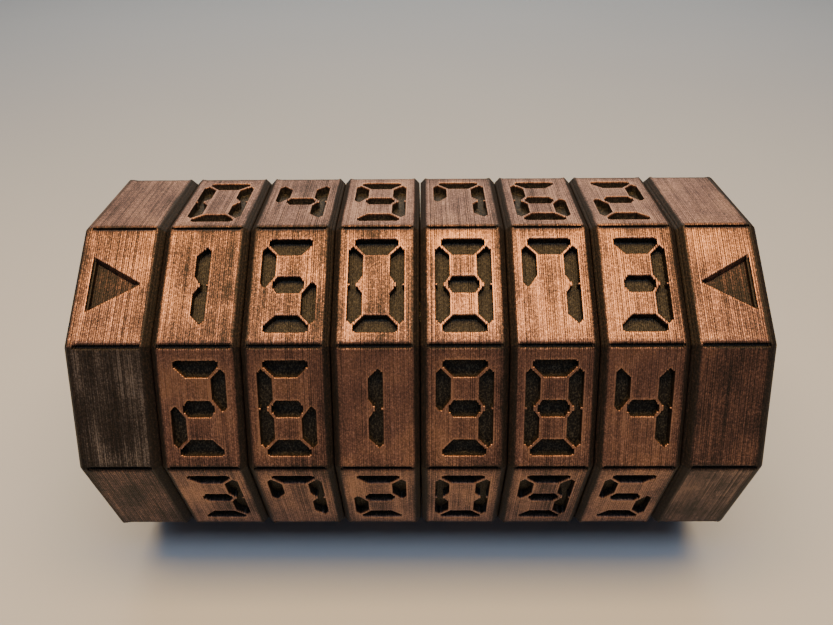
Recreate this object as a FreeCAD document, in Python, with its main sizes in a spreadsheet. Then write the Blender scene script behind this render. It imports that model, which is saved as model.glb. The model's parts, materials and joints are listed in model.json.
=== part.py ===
import FreeCAD, Part
import math
import os
import Sketcher
from FreeCAD import Placement, Rotation, Vector

# A six-ring number cryptex: a decagonal prism that lies on one flat, along X. Six code rings turn
# on a carrier tube fixed to the left end cap. A vault tube fixed to the right end cap slides out
# along +X when the notch of every lock ring lines up with its tooth.
#
# Each internal piece is drawn with the slot and the teeth straight up, in its own frame, and then
# turned about X to the face that carries the arrows. Lengths are in millimetres.

DRIVING_SIZES = [
    ("ring_count", 6, "code rings on the carrier"),
    ("face_count", 10, "flats on each ring, one digit each"),
    ("corner_radius", 30.0, "axis to a sharp corner of the decagon"),
    ("ring_width", 12.35, "code ring, along the axis"),
    ("ring_gap", 0.15, "play between one ring and the next"),
    ("cap_width", 11.825, "end cap, along the axis"),
    ("side_chamfer", 0.78, "edge of each code ring"),
    ("cap_face_chamfer", 0.92, "cap edge that faces the rings"),
    ("cap_end_chamfer", 0.5, "outer rim of the left cap"),
    ("cap_end_round", 1.4, "outer rim of the right cap, rounded"),
    ("groove_width", 0.7, "groove along each corner"),
    ("groove_depth", 0.7, "groove, below the sharp corner"),
    ("groove_stop", 0.2, "groove end to the start of the chamfer"),
    ("groove_end", 1.2, "groove end to the outer end of a cap"),
    ("digit_width", 8.3, "seven-segment digit"),
    ("digit_height", 14.4, "seven-segment digit"),
    ("upright_width", 2.3, "upright segment"),
    ("bar_height", 2.5, "level segment"),
    ("segment_wall", 0.4, "thin wall left between two segments"),
    ("digit_depth", 1.2, "recess of a digit"),
    ("arrow_side", 8.6, "side of the arrow, a level triangle"),
    ("arrow_margin", 2.1, "base of the arrow to the end of the cap"),
    ("arrow_rise", 0.25, "middle of the arrow, above the middle of its flat"),
    ("arrow_depth", 1.0, "recess of an arrow"),
    ("code_bore", 23.9, "radius inside a code ring"),
    ("code_lip_bore", 22.6, "radius inside the code ring's lip"),
    ("code_lip_width", 1.0, "lip that the lock ring seats on"),
    ("key_width", 3.4, "keyway in the code ring"),
    ("key_depth", 1.2, "keyway in the code ring"),
    ("lug_width", 3.0, "lug of the lock ring"),
    ("lug_height", 1.0, "lug of the lock ring"),
    ("lock_outer", 23.7, "radius outside a lock ring"),
    ("counterbore", 21.9, "radius of the space that a tooth turns in"),
    ("lock_bore", 18.55, "radius of the lock ring on the carrier"),
    ("disc_start", 0.5, "lock ring's disc, right of the ring's middle"),
    ("notch_width", 6.8, "notch that lets the tooth through"),
    ("scallop_radius", 2.2, "detent scallop"),
    ("scallop_depth", 0.6, "detent scallop, into the disc"),
    ("carrier_bore", 15.3, "radius inside the carrier tube"),
    ("carrier_outer", 18.3, "radius outside the carrier tube"),
    ("carrier_flange", 23.2, "radius of the carrier's flange"),
    ("carrier_flange_width", 3.0, "thickness of the carrier's flange"),
    ("slot_width", 6.8, "slot in the carrier"),
    ("spring_seat", 16.5, "axis to the floor of a spring pocket"),
    ("spring_width", 3.2, "detent spring, along the axis"),
    ("spring_length", 12.0, "detent spring, around the carrier"),
    ("spring_thickness", 0.36, "detent spring's leaf"),
    ("spring_rise", 2.45, "top of the bow above the pocket floor"),
    ("pocket_play", 0.2, "pocket beside a spring, on each side"),
    ("pocket_run", 1.0, "room for a spring to lengthen as it flattens"),
    ("vault_bore", 11.6, "radius inside the vault"),
    ("vault_outer", 15.0, "radius outside the vault"),
    ("vault_floor", 1.0, "closed end of the vault, inside its flange"),
    ("vault_flange", 20.3, "radius of the vault's flange"),
    ("vault_flange_width", 2.5, "thickness of the vault's flange"),
    ("rail_width", 6.0, "tooth rail and teeth"),
    ("rail_seat", 14.0, "axis to the rail's seat on the vault"),
    ("rail_top", 18.0, "axis to the top of the rail"),
    ("tooth_top", 21.3, "axis to the top of a tooth"),
    ("tooth_length", 3.0, "tooth, along the axis"),
    ("rail_end", 0.5, "rail past its first and last tooth"),
    ("collar_outer", 25.0, "radius of the retaining collar"),
    ("collar_width", 4.5, "retaining collar, along the axis"),
    ("collar_gap", 0.2, "play between the last ring and the collar"),
    ("cavity_gap", 0.4, "clearance of the right cap round the collar"),
    ("flange_gap", 0.3, "clearance of a cap round a flange"),
    ("left_end_wall", 4.9, "thickness of the left cap's end"),
    ("right_end_wall", 3.9, "thickness of the right cap's end"),
    ("carrier_screw_circle", 20.8, "radius that the left cap screws are on"),
    ("vault_screw_circle", 17.6, "radius that the right cap screws are on"),
    ("flange_screw_count", 4, "screws in each cap"),
    ("rail_screw_count", 3, "screws in the tooth rail"),
    ("collar_screw_count", 3, "screws in the collar"),
    ("screw_radius", 1.2, "shank of every screw"),
    ("screw_play", 0.05, "between a shank and its hole"),
    ("screw_head", 2.25, "radius of a countersunk head"),
    ("head_height", 1.2, "countersunk head"),
    ("head_play", 0.1, "between a head and its countersink"),
    ("socket_radius", 0.9, "hexagon socket, centre to corner"),
    ("socket_depth", 0.8, "hexagon socket"),
    ("carrier_screw_length", 6.0, "left cap screws, with their heads"),
    ("vault_screw_length", 5.0, "right cap screws, with their heads"),
    ("rail_screw_length", 6.2, "rail screws, with their heads"),
    ("collar_screw_length", 8.0, "headless collar screws"),
    ("screw_sink", 0.3, "collar screws, below the rim of the collar"),
]

# The opening combination, read from left to right on the arrow face.
COMBINATION = (1, 5, 0, 8, 7, 3)

# Segments of each digit: A top, B and C right, D bottom, E and F left, G middle.
DIGIT_SEGMENTS = ("ABCDEF", "BC", "ABGED", "ABGCD", "FGBC", "AFGCD", "AFGECD", "FABC", "ABCDEFG", "ABCDFG")

STEP = 36.0  # degrees from one face to the next
ARROW_TURN = STEP  # from straight up to the arrow face, towards the front
SPRING_TURN = 4.5 * STEP  # from the slot to the detent springs
LUG_TURN = 3 * STEP  # from a lock ring's notch to its first lug
OVERCUT = 1.0  # how far a cutter runs past the surface that it opens

doc = FreeCAD.newDocument("Cryptex")
sheet = doc.addObject("Spreadsheet::Sheet", "Sizes")


class Size:
    """A number together with its spreadsheet expression, so that one sum gives both."""

    def __init__(self, number, text=None):
        self.number = float(number)
        self.text = text if text is not None else repr(self.number)

    def joined(self, sign, other, number):
        return Size(number, "(%s %s %s)" % (self.text, sign, other.text))

    def __add__(self, other):
        other = as_size(other)
        return self.joined("+", other, self.number + other.number)

    def __sub__(self, other):
        other = as_size(other)
        return self.joined("-", other, self.number - other.number)

    def __mul__(self, other):
        other = as_size(other)
        return self.joined("*", other, self.number * other.number)

    def __truediv__(self, other):
        other = as_size(other)
        return self.joined("/", other, self.number / other.number)

    def __rsub__(self, other):
        return as_size(other) - self

    def __neg__(self):
        return self * -1

    __radd__ = __add__
    __rmul__ = __mul__


def as_size(value):
    return value if isinstance(value, Size) else Size(value)


def fill_sheet():
    """Write the driving sizes to the sheet and return them as Size values by name."""
    for row, (alias, value, note) in enumerate(DRIVING_SIZES, start=1):
        sheet.set("A%d" % row, note)
        sheet.set("B%d" % row, str(value))
        sheet.setAlias("B%d" % row, alias)
    doc.recompute()
    return {alias: Size(sheet.get(alias), "Sizes." + alias) for alias, value, note in DRIVING_SIZES}


size = fill_sheet()
ring_count = int(size["ring_count"].number)
face_count = int(size["face_count"].number)

# Sizes and stations along X that several pieces share.
apothem = size["corner_radius"] * math.cos(math.radians(STEP / 2))
ring_pitch = size["ring_width"] + size["ring_gap"]
stack_end = ring_pitch * size["ring_count"] / 2
cap_inner = stack_end + size["ring_gap"] / 2
cap_outer = cap_inner + size["cap_width"]
ring_half = size["ring_width"] / 2
disc_end = ring_half - size["code_lip_width"]
disc_middle = (size["disc_start"] + disc_end) / 2
left_floor = size["left_end_wall"] - cap_outer
carrier_flange_end = left_floor + size["carrier_flange_width"]
collar_start = stack_end - size["ring_gap"] / 2 + size["collar_gap"]
collar_end = collar_start + size["collar_width"]
collar_middle = (collar_start + collar_end) / 2
right_floor = cap_outer - size["right_end_wall"]
vault_flange_start = right_floor - size["vault_flange_width"]


def ring_middle(index):
    """Station of a ring's middle; index runs from 0 at the left cap."""
    return ring_pitch * (index - (ring_count - 1) / 2)


def bind(feature, **sizes):
    """Set each property to its size and bind it to the sheet."""
    for name, value in sizes.items():
        value = as_size(value)
        setattr(feature, name, value.number)
        feature.setExpression(name, value.text)


def about_x(degrees, position=Vector(0, 0, 0)):
    """Turn about the long axis; a positive turn takes the top towards the front."""
    return Placement(position, Rotation(Vector(1, 0, 0), degrees))


def origin_item(body, role):
    return [item for item in body.Origin.OriginFeatures if item.Role == role][0]


def new_body(label):
    body = doc.addObject("PartDesign::Body", label)
    body.Label = label
    return body


def add_feature(body, kind, name):
    return body.newObject("PartDesign::" + kind, "%s_%s" % (body.Name, name))


def box(body, name, x_span, y_width, z_span, turn=0.0, cut=True):
    """Box from x_span[0] to x_span[1], centred across Y, then turned about X."""
    feature = add_feature(body, "SubtractiveBox" if cut else "AdditiveBox", name)
    (x_low, x_high), (z_low, z_high) = [[as_size(end) for end in span] for span in (x_span, z_span)]
    bind(feature, Length=x_high - x_low, Width=y_width, Height=z_high - z_low)
    corner = Vector(x_low.number, -as_size(y_width).number / 2, z_low.number)
    feature.Placement = about_x(turn) * Placement(corner, Rotation())
    return feature


def rod_along_x(body, name, radius, x_span, height, turn=0.0, cone_radius=None):
    """Round cutter along X at a height above the axis; with cone_radius it is a countersink."""
    kind = "SubtractiveCylinder" if cone_radius is None else "SubtractiveCone"
    feature = add_feature(body, kind, name)
    x_low, x_high = [as_size(end) for end in x_span]
    if cone_radius is None:
        bind(feature, Radius=radius)
    else:
        bind(feature, Radius1=radius, Radius2=cone_radius)
    bind(feature, Height=x_high - x_low)
    along_x = Rotation(Vector(0, 1, 0), 90)
    feature.Placement = about_x(turn) * Placement(Vector(x_low.number, 0, as_size(height).number), along_x)
    return feature


def rod_outwards(body, name, radius, z_span, station, turn=0.0, cone_radius=None):
    """Round cutter that points away from the axis at a station along X."""
    kind = "SubtractiveCylinder" if cone_radius is None else "SubtractiveCone"
    feature = add_feature(body, kind, name)
    z_low, z_high = [as_size(end) for end in z_span]
    if cone_radius is None:
        bind(feature, Radius=radius)
    else:
        bind(feature, Radius1=radius, Radius2=cone_radius)
    bind(feature, Height=z_high - z_low)
    base = Vector(as_size(station).number, 0, z_low.number)
    feature.Placement = about_x(turn) * Placement(base, Rotation())
    return feature


def around(body, original, count, angle=360.0):
    """Repeat one feature about the long axis and move the tip to the pattern."""
    pattern = add_feature(body, "PolarPattern", "around_%d" % len(body.Group))
    pattern.Originals = [original]
    pattern.Axis = (origin_item(body, "X_Axis"), [""])
    pattern.Angle = angle
    pattern.Occurrences = int(count)
    body.Tip = pattern
    return pattern


def along(body, original, count, length):
    """Repeat one feature along the long axis, over a total length."""
    pattern = add_feature(body, "LinearPattern", "along_%d" % len(body.Group))
    pattern.Originals = [original]
    pattern.Direction = (origin_item(body, "X_Axis"), [""])
    bind(pattern, Length=length)
    pattern.Occurrences = int(count)
    body.Tip = pattern
    return pattern


def sketch_on(body, role, name, offset=Placement()):
    sketch = body.newObject("Sketcher::SketchObject", "%s_%s" % (body.Name, name))
    sketch.AttachmentSupport = [(origin_item(body, role), "")]
    sketch.MapMode = "FlatFace"
    sketch.AttachmentOffset = offset
    return sketch


def bound_outline(sketch, corners):
    """Closed outline whose every corner is tied to the sheet by two distances."""
    corners = [(as_size(across), as_size(up)) for across, up in corners]
    points = [Vector(across.number, up.number, 0) for across, up in corners]
    count = len(points)
    sketch.addGeometry([Part.LineSegment(points[i], points[(i + 1) % count]) for i in range(count)])
    joints = [(i, (i + 1) % count) for i in range(count)]
    sketch.addConstraint([Sketcher.Constraint("Coincident", a, 2, b, 1) for a, b in joints])
    for index, (across, up) in enumerate(corners):
        for kind, axis, value in (("DistanceX", -2, across), ("DistanceY", -1, up)):
            if value.number == 0.0:
                sketch.addConstraint(Sketcher.Constraint("PointOnObject", index, 1, axis))
                continue
            constraint = Sketcher.Constraint(kind, -1, 1, index, 1, value.number)
            place = sketch.addConstraint(constraint)
            sketch.setExpression("Constraints[%d]" % place, value.text)
    return sketch


def turned(body, corners, cut=False):
    """Turn a lengthwise profile of (station, radius) corners about the long axis."""
    name = "bore_profile" if cut else "profile"
    sketch = bound_outline(sketch_on(body, "XZ_Plane", name), corners)
    feature = add_feature(body, "Groove" if cut else "Revolution", "bored" if cut else "turned")
    feature.Profile = sketch
    feature.ReferenceAxis = (sketch, ["H_Axis"])
    feature.Angle = 360.0
    return feature


def decagon_blank(body, x_low, x_high, low_chamfer, high_chamfer, high_dressing="Chamfer"):
    """Decagonal prism with flats up and down, and its two end edges chamfered or rounded."""
    prism = add_feature(body, "AdditivePrism", "prism")
    prism.Polygon = face_count
    bind(prism, Circumradius=size["corner_radius"], Height=x_high - x_low)
    start = Placement(Vector(x_low.number, 0, 0), Rotation(Vector(0, 1, 0), 90))
    prism.Placement = about_x(STEP / 2) * start
    doc.recompute()
    previous = prism
    ends = (("low", x_low, "Chamfer", low_chamfer), ("high", x_high, high_dressing, high_chamfer))
    for name, station, kind, dressing_size in ends:
        edges = edges_at(previous.Shape, station.number)
        dressing = add_feature(body, kind, name + "_edge")
        dressing.Base = (previous, edges)
        bind(dressing, **{"Size" if kind == "Chamfer" else "Radius": dressing_size})
        doc.recompute()
        previous = dressing
    return previous


def edges_at(shape, station):
    """Names of the edges that lie in the plane at one station."""
    names = []
    for number, edge in enumerate(shape.Edges, start=1):
        if all(abs(vertex.X - station) < 1e-6 for vertex in edge.Vertexes):
            names.append("Edge%d" % number)
    return names


def corner_grooves(body, x_low, x_high):
    """Closed-ended groove along each corner of the decagon."""
    top = size["corner_radius"]
    span = (top - size["groove_depth"], top + OVERCUT)
    groove = box(body, "groove", (x_low, x_high), size["groove_width"], span, STEP / 2)
    around(body, groove, face_count)


def segment_outlines():
    """Corner points of the seven segments, about the middle of the digit, and of whole sides."""
    half_width = size["digit_width"].number / 2
    half_height = size["digit_height"].number / 2
    inner = half_width - size["upright_width"].number
    shelf = half_height - size["bar_height"].number
    middle = size["bar_height"].number / 2
    wall = size["segment_wall"].number
    mitre = wall * math.sqrt(0.5)  # along an edge, from the mitre line to a segment's corner
    corner = 0.75  # outer corner of an upright, cut at 45 degrees
    bar_tip = 0.65  # outer corner of a level bar
    bar_inset = 0.25  # middle bar's level edge, short of the uprights
    bar_point = 0.9  # point of the middle bar, past its level edge
    neck = 0.3  # how far a lone upright passes the middle of the digit
    nub_top = 0.4  # where an upright's outer edge turns in towards the middle
    nub_run = 0.6  # how far it turns in, down to the end of the neck

    top_tip = half_width - corner
    top = [
        (half_width - 2 * bar_tip, half_height),
        (half_width - corner, half_height - bar_tip),
        (inner - mitre, shelf),
    ]
    level = inner - bar_inset
    lean = bar_point / middle  # sideways run of a middle bar's end, per unit of height
    root = level + bar_point + wall * math.hypot(1.0, lean)  # an upright's inner edge at the middle
    upright_top = [
        (inner, (root - inner) / lean),
        (inner, shelf - mitre),
        (top_tip, shelf - mitre + top_tip - inner),
        (half_width, shelf - mitre + top_tip - inner - corner),
        (half_width, nub_top),
    ]
    neck_end = [(half_width - nub_run, -neck), (root + neck * lean, -neck)]
    nub = half_width - nub_run * nub_top / (nub_top + neck)

    def flipped(points, across, up):
        return [(across * x, up * y) for x, y in points]

    upright = upright_top + neck_end
    side = upright_top + [(nub, 0.0)] + flipped(upright_top[::-1], 1, -1) + [(root, 0.0)]
    bar = [(level, middle), (level + bar_point, 0.0), (level, -middle)]
    return {
        "A": top + flipped(top[::-1], -1, 1),
        "B": upright,
        "C": flipped(upright, 1, -1),
        "D": flipped(top + flipped(top[::-1], -1, 1), 1, -1),
        "E": flipped(upright, -1, -1),
        "F": flipped(upright, -1, 1),
        "G": bar + flipped(bar[::-1], -1, 1),
        "BC": side,
        "EF": flipped(side, -1, 1),
    }


def digit_outlines(digit):
    """Outlines of a digit; the two uprights of one side run together through a narrow neck."""
    segments = segment_outlines()
    lit = set(DIGIT_SEGMENTS[digit])
    for upper_and_lower in ("BC", "EF"):
        if lit.issuperset(upper_and_lower):
            lit = lit.difference(upper_and_lower) | {upper_and_lower}
    shift = -(size["digit_width"] - size["upright_width"]).number / 2 if digit == 1 else 0.0
    return [[Vector(x + shift, y, 0) for x, y in segments[name]] for name in sorted(lit)]


def recess(body, name, outlines, depth, turn):
    """Sink outlines into the flat that lies at a turn from the top."""
    offset = about_x(turn) * Placement(Vector(0, 0, apothem.number), Rotation())
    sketch = sketch_on(body, "XY_Plane", name, offset)
    for points in outlines:
        count = len(points)
        first = sketch.GeometryCount
        sketch.addGeometry([Part.LineSegment(points[i], points[(i + 1) % count]) for i in range(count)])
        joints = [(first + i, first + (i + 1) % count) for i in range(count)]
        sketch.addConstraint([Sketcher.Constraint("Coincident", a, 2, b, 1) for a, b in joints])
    pocket = add_feature(body, "Pocket", name + "_pocket")
    pocket.Profile = sketch
    bind(pocket, Length=depth)
    pocket.Refine = False
    return pocket


def make_code_ring(index):
    """Decagonal ring with ten digits; its lip on the right seats the lock ring."""
    body = new_body("code_ring_%d" % (index + 1))
    decagon_blank(body, -ring_half, ring_half, size["side_chamfer"], size["side_chamfer"])
    lip_start = ring_half - size["code_lip_width"]
    turned(body, [
        (-ring_half - OVERCUT, 0),
        (ring_half + OVERCUT, 0),
        (ring_half + OVERCUT, size["code_lip_bore"]),
        (lip_start, size["code_lip_bore"]),
        (lip_start, size["code_bore"]),
        (-ring_half - OVERCUT, size["code_bore"]),
    ], cut=True)
    key_top = size["code_bore"] + size["key_depth"]
    key = box(body, "keyway", (-ring_half - OVERCUT, lip_start), size["key_width"],
              (size["code_bore"] - OVERCUT, key_top))
    around(body, key, face_count)
    reach = ring_half - size["side_chamfer"] - size["groove_stop"]
    corner_grooves(body, -reach, reach)
    for digit in range(face_count):
        recess(body, "digit_%d" % digit, digit_outlines(digit), size["digit_depth"], STEP * digit)
    turn = ARROW_TURN - STEP * COMBINATION[index]
    body.Placement = about_x(turn, Vector(ring_middle(index).number, 0, 0))
    return body


def make_lock_ring(index):
    """Ring fixed inside a code ring: one notch for the tooth, and ten detent scallops."""
    body = new_body("lock_ring_%d" % (index + 1))
    turned(body, [
        (-ring_half, size["counterbore"]),
        (size["disc_start"], size["counterbore"]),
        (size["disc_start"], size["lock_bore"]),
        (disc_end, size["lock_bore"]),
        (disc_end, size["lock_outer"]),
        (-ring_half, size["lock_outer"]),
    ])
    lug_span = (size["lock_outer"] - OVERCUT, size["lock_outer"] + size["lug_height"])
    lug = box(body, "lug", (-ring_half, disc_end), size["lug_width"], lug_span, LUG_TURN, cut=False)
    around(body, lug, 2)
    disc = (size["disc_start"] - OVERCUT, disc_end + OVERCUT)
    box(body, "notch", disc, size["notch_width"], (size["carrier_bore"], size["counterbore"]))
    scallop_height = size["lock_bore"] + size["scallop_depth"] - size["scallop_radius"]
    scallop = rod_along_x(body, "scallop", size["scallop_radius"], disc, scallop_height, STEP / 2)
    around(body, scallop, face_count)
    body.Placement = about_x(ARROW_TURN, Vector(ring_middle(index).number, 0, 0))
    return body


def make_detent_spring(index):
    """Bowed leaf that lies in a pocket of the carrier and clicks into the scallops."""
    body = new_body("detent_spring_%d" % (index + 1))
    half = size["spring_length"].number / 2
    leaf = size["spring_thickness"].number
    floor = size["spring_seat"].number
    crown = floor + size["spring_rise"].number
    foot = 0.7 * half  # where the leaf leaves the pocket floor
    shoulder = 0.19 * half  # where the slope meets the rounded crown
    drop = 0.4  # crown above its shoulders
    offset = Placement(Vector(0, 0, -size["spring_width"].number / 2), Rotation())
    sketch = sketch_on(body, "YZ_Plane", "leaf", offset)
    outer = [(half, floor + leaf), (foot, floor + leaf), (shoulder, crown - drop)]
    inner = [(shoulder - leaf / 3, crown - drop - leaf), (foot + leaf / 3, floor), (half, floor)]
    right = [Vector(y, z, 0) for y, z in outer + inner]
    left = [Vector(-point.x, point.y, 0) for point in right]
    lines = []
    for side in (right, left):
        for start, end in ((0, 1), (1, 2), (3, 4), (4, 5), (5, 0)):
            lines.append(Part.LineSegment(side[start], side[end]))
    crown_arcs = []
    for place, height in ((2, crown), (3, crown - leaf)):
        crown_arcs.append(Part.Arc(right[place], Vector(0, height, 0), left[place]))
    sketch.addGeometry(lines + crown_arcs)
    pad = add_feature(body, "Pad", "strip")
    pad.Profile = sketch
    bind(pad, Length=size["spring_width"])
    station = ring_middle(index) + disc_middle
    body.Placement = about_x(ARROW_TURN + SPRING_TURN, Vector(station.number, 0, 0))
    return body


def make_carrier_tube():
    """Sleeve that the rings turn on, slotted for the tooth rail and flanged at the left."""
    body = new_body("carrier_tube")
    turned(body, [
        (left_floor, size["carrier_bore"]),
        (collar_end, size["carrier_bore"]),
        (collar_end, size["carrier_outer"]),
        (carrier_flange_end, size["carrier_outer"]),
        (carrier_flange_end, size["carrier_flange"]),
        (left_floor, size["carrier_flange"]),
    ])
    slot_start = ring_middle(0) - size["tooth_length"] - 2 * size["rail_end"]
    wall = (size["vault_bore"], size["carrier_outer"] + OVERCUT)
    box(body, "slot", (slot_start, collar_end + OVERCUT), size["slot_width"], wall)
    middle = ring_middle(0) + disc_middle
    pocket_half = size["spring_width"] / 2 + size["pocket_play"]
    pocket_length = size["spring_length"] + size["pocket_run"]
    pocket_span = (size["spring_seat"], size["carrier_outer"] + OVERCUT)
    pocket = box(body, "spring_pocket", (middle - pocket_half, middle + pocket_half),
                 pocket_length, pocket_span, SPRING_TURN)
    along(body, pocket, ring_count, ring_pitch * (ring_count - 1))
    flange_holes(body, left_floor, carrier_flange_end, size["carrier_screw_circle"])
    collar_holes(body, size["carrier_bore"] - OVERCUT)
    body.Placement = about_x(ARROW_TURN)
    return body


def flange_holes(body, back, front, circle):
    """Countersunk holes through a flange; the heads lie in the face called front."""
    shank = size["screw_radius"] + size["screw_play"]
    head = size["screw_head"] + size["head_play"]
    turn = 180.0 / size["flange_screw_count"].number
    if front.number > back.number:
        hole_span, cone_span = (back - OVERCUT, front + OVERCUT), (front - size["head_height"], front)
        cone = (shank, head)
    else:
        hole_span, cone_span = (front - OVERCUT, back + OVERCUT), (front, front + size["head_height"])
        cone = (head, shank)
    hole = rod_along_x(body, "screw_hole", shank, hole_span, circle, turn)
    around(body, hole, size["flange_screw_count"].number)
    sink = rod_along_x(body, "countersink", cone[0], cone_span, circle, turn, cone_radius=cone[1])
    around(body, sink, size["flange_screw_count"].number)


def collar_holes(body, inner_end):
    """Radial holes for the collar screws, at 90, 180 and 270 degrees from the slot."""
    span = (inner_end, size["collar_outer"] + OVERCUT)
    shank = size["screw_radius"] + size["screw_play"]
    hole = rod_outwards(body, "collar_hole", shank, span, collar_middle, 90.0)
    around(body, hole, size["collar_screw_count"].number, angle=180.0)


def make_retaining_collar():
    """Ring on the carrier's open end, notched where the teeth come out."""
    body = new_body("retaining_collar")
    bore = size["carrier_outer"] + size["screw_play"]
    turned(body, [
        (collar_start, bore),
        (collar_end, bore),
        (collar_end, size["collar_outer"]),
        (collar_start, size["collar_outer"]),
    ])
    span = (collar_start - OVERCUT, collar_end + OVERCUT)
    box(body, "tooth_notch", span, size["slot_width"], (size["carrier_bore"], size["counterbore"]))
    collar_holes(body, size["carrier_bore"])
    body.Placement = about_x(ARROW_TURN)
    return body


def make_vault_tube():
    """Inner tube that holds the contents, closed by its flange, with a seat for the rail."""
    body = new_body("vault_tube")
    floor = vault_flange_start - size["vault_floor"]
    turned(body, [
        (carrier_flange_end, size["vault_bore"]),
        (floor, size["vault_bore"]),
        (floor, 0),
        (right_floor, 0),
        (right_floor, size["vault_flange"]),
        (vault_flange_start, size["vault_flange"]),
        (vault_flange_start, size["vault_outer"]),
        (carrier_flange_end, size["vault_outer"]),
    ])
    rail_left, rail_right = rail_span()
    seat = (size["rail_seat"], size["vault_outer"] + OVERCUT)
    box(body, "rail_seat", (rail_left, rail_right), size["rail_width"], seat)
    hole_span = (size["vault_bore"] - OVERCUT, size["vault_outer"])
    shank = size["screw_radius"] + size["screw_play"]
    hole = rod_outwards(body, "rail_hole", shank, hole_span, rail_screw_station(0))
    along(body, hole, size["rail_screw_count"].number, rail_screw_run())
    flange_holes(body, right_floor, vault_flange_start, size["vault_screw_circle"])
    body.Placement = about_x(ARROW_TURN)
    return body


def rail_span():
    left = ring_middle(0) - size["tooth_length"] - size["rail_end"]
    return left, ring_middle(ring_count - 1) + size["rail_end"]


def rail_screw_station(index):
    """The rail's screws stand between teeth, two rings apart."""
    return ring_middle(2 * index) + ring_pitch / 2 - size["tooth_length"] / 2


def rail_screw_run():
    """Length from the rail's first screw to its last."""
    return ring_pitch * (2 * (size["rail_screw_count"].number - 1))


def make_tooth_rail():
    """Comb with one tooth for each ring; each tooth stands left of its lock ring's disc."""
    body = new_body("tooth_rail")
    left, right = rail_span()
    corners = [(left, size["rail_seat"]), (right, size["rail_seat"]), (right, size["rail_top"])]
    for index in reversed(range(ring_count)):
        front = ring_middle(index)
        back = front - size["tooth_length"]
        corners += [(front, size["rail_top"]), (front, size["tooth_top"])]
        corners += [(back, size["tooth_top"]), (back, size["rail_top"])]
    corners.append((left, size["rail_top"]))
    offset = Placement(Vector(0, 0, -size["rail_width"].number / 2), Rotation())
    sketch = bound_outline(sketch_on(body, "XZ_Plane", "comb", offset), corners)
    pad = add_feature(body, "Pad", "rail")
    pad.Profile = sketch
    bind(pad, Length=size["rail_width"])
    shank = size["screw_radius"] + size["screw_play"]
    head = size["screw_head"] + size["head_play"]
    station = rail_screw_station(0)
    hole_span = (size["rail_seat"] - OVERCUT, size["rail_top"] + OVERCUT)
    sink_span = (size["rail_top"] - size["head_height"], size["rail_top"])
    hole = rod_outwards(body, "rail_hole", shank, hole_span, station)
    along(body, hole, size["rail_screw_count"].number, rail_screw_run())
    sink = rod_outwards(body, "countersink", shank, sink_span, station, cone_radius=head)
    along(body, sink, size["rail_screw_count"].number, rail_screw_run())
    body.Placement = about_x(ARROW_TURN)
    return body


def make_end_cap(label, side):
    """Decagonal cap, side -1 at the left and 1 at the right, with an arrow on its top flat."""
    body = new_body(label)
    inner, outer = cap_inner * side, cap_outer * side
    if side < 0:
        decagon_blank(body, outer, inner, size["cap_end_chamfer"], size["cap_face_chamfer"])
        cavity = size["carrier_flange"] + size["flange_gap"]
        corners = [(left_floor, 0), (inner + OVERCUT, 0), (inner + OVERCUT, cavity), (left_floor, cavity)]
        floor, circle, depth = left_floor, size["carrier_screw_circle"], size["carrier_screw_length"]
        depth = depth - size["carrier_flange_width"]
    else:
        decagon_blank(body, inner, outer, size["cap_face_chamfer"], size["cap_end_round"], "Fillet")
        cavity = size["collar_outer"] + size["cavity_gap"]
        recess_radius = size["vault_flange"] + size["flange_gap"]
        corners = [
            (inner - OVERCUT, 0),
            (right_floor, 0),
            (right_floor, recess_radius),
            (vault_flange_start, recess_radius),
            (vault_flange_start, cavity),
            (inner - OVERCUT, cavity),
        ]
        floor, circle = right_floor, size["vault_screw_circle"]
        depth = size["vault_screw_length"] - size["vault_flange_width"]
    turned(body, corners, cut=True)
    depth = depth + size["screw_play"]
    hole_span = (floor - depth, floor + OVERCUT) if side < 0 else (floor - OVERCUT, floor + depth)
    turn = 180.0 / size["flange_screw_count"].number
    shank = size["screw_radius"] + size["screw_play"]
    hole = rod_along_x(body, "pilot_hole", shank, hole_span, circle, turn)
    around(body, hole, size["flange_screw_count"].number)
    near = cap_inner + size["cap_face_chamfer"] + size["groove_stop"]
    far = cap_outer - size["groove_end"]
    groove_span = (near, far) if side > 0 else (-far, -near)
    corner_grooves(body, *groove_span)
    base = (cap_outer - size["arrow_margin"]).number
    half = size["arrow_side"].number / 2
    rise = size["arrow_rise"].number
    tip = base - half * math.sqrt(3)
    triangle = [
        Vector(side * base, rise + half, 0),
        Vector(side * base, rise - half, 0),
        Vector(side * tip, rise, 0),
    ]
    recess(body, "arrow", [triangle], size["arrow_depth"], 0.0)
    body.Placement = about_x(ARROW_TURN)
    return body


def screw_solid(length, headed):
    """Screw whose top is at the origin and whose point is down; the top has a hexagon socket."""
    radius = size["screw_radius"].number
    solid = Part.makeCylinder(radius, length, Vector(0, 0, -length))
    if headed:
        height = size["head_height"].number
        head = Part.makeCone(radius, size["screw_head"].number, height, Vector(0, 0, -height))
        solid = solid.fuse(head)
    socket_radius = size["socket_radius"].number
    angles = [math.radians(60 * i) for i in range(7)]
    corners = [Vector(socket_radius * math.cos(a), socket_radius * math.sin(a), 0) for a in angles]
    depth = size["socket_depth"].number
    socket = Part.Face(Part.makePolygon(corners)).extrude(Vector(0, 0, -depth))
    return solid.cut(socket).removeSplitter()


def make_screws(label, length, placements, headed=True):
    """Identical screws, kept as one group of separate solids."""
    screw = screw_solid(length.number, headed)
    solids = []
    for placement in placements:
        solid = screw.copy()
        solid.Placement = placement
        solids.append(solid)
    group = doc.addObject("Part::Feature", label)
    group.Label = label
    group.Shape = Part.makeCompound(solids)
    group.Placement = about_x(ARROW_TURN)
    return group


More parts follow.
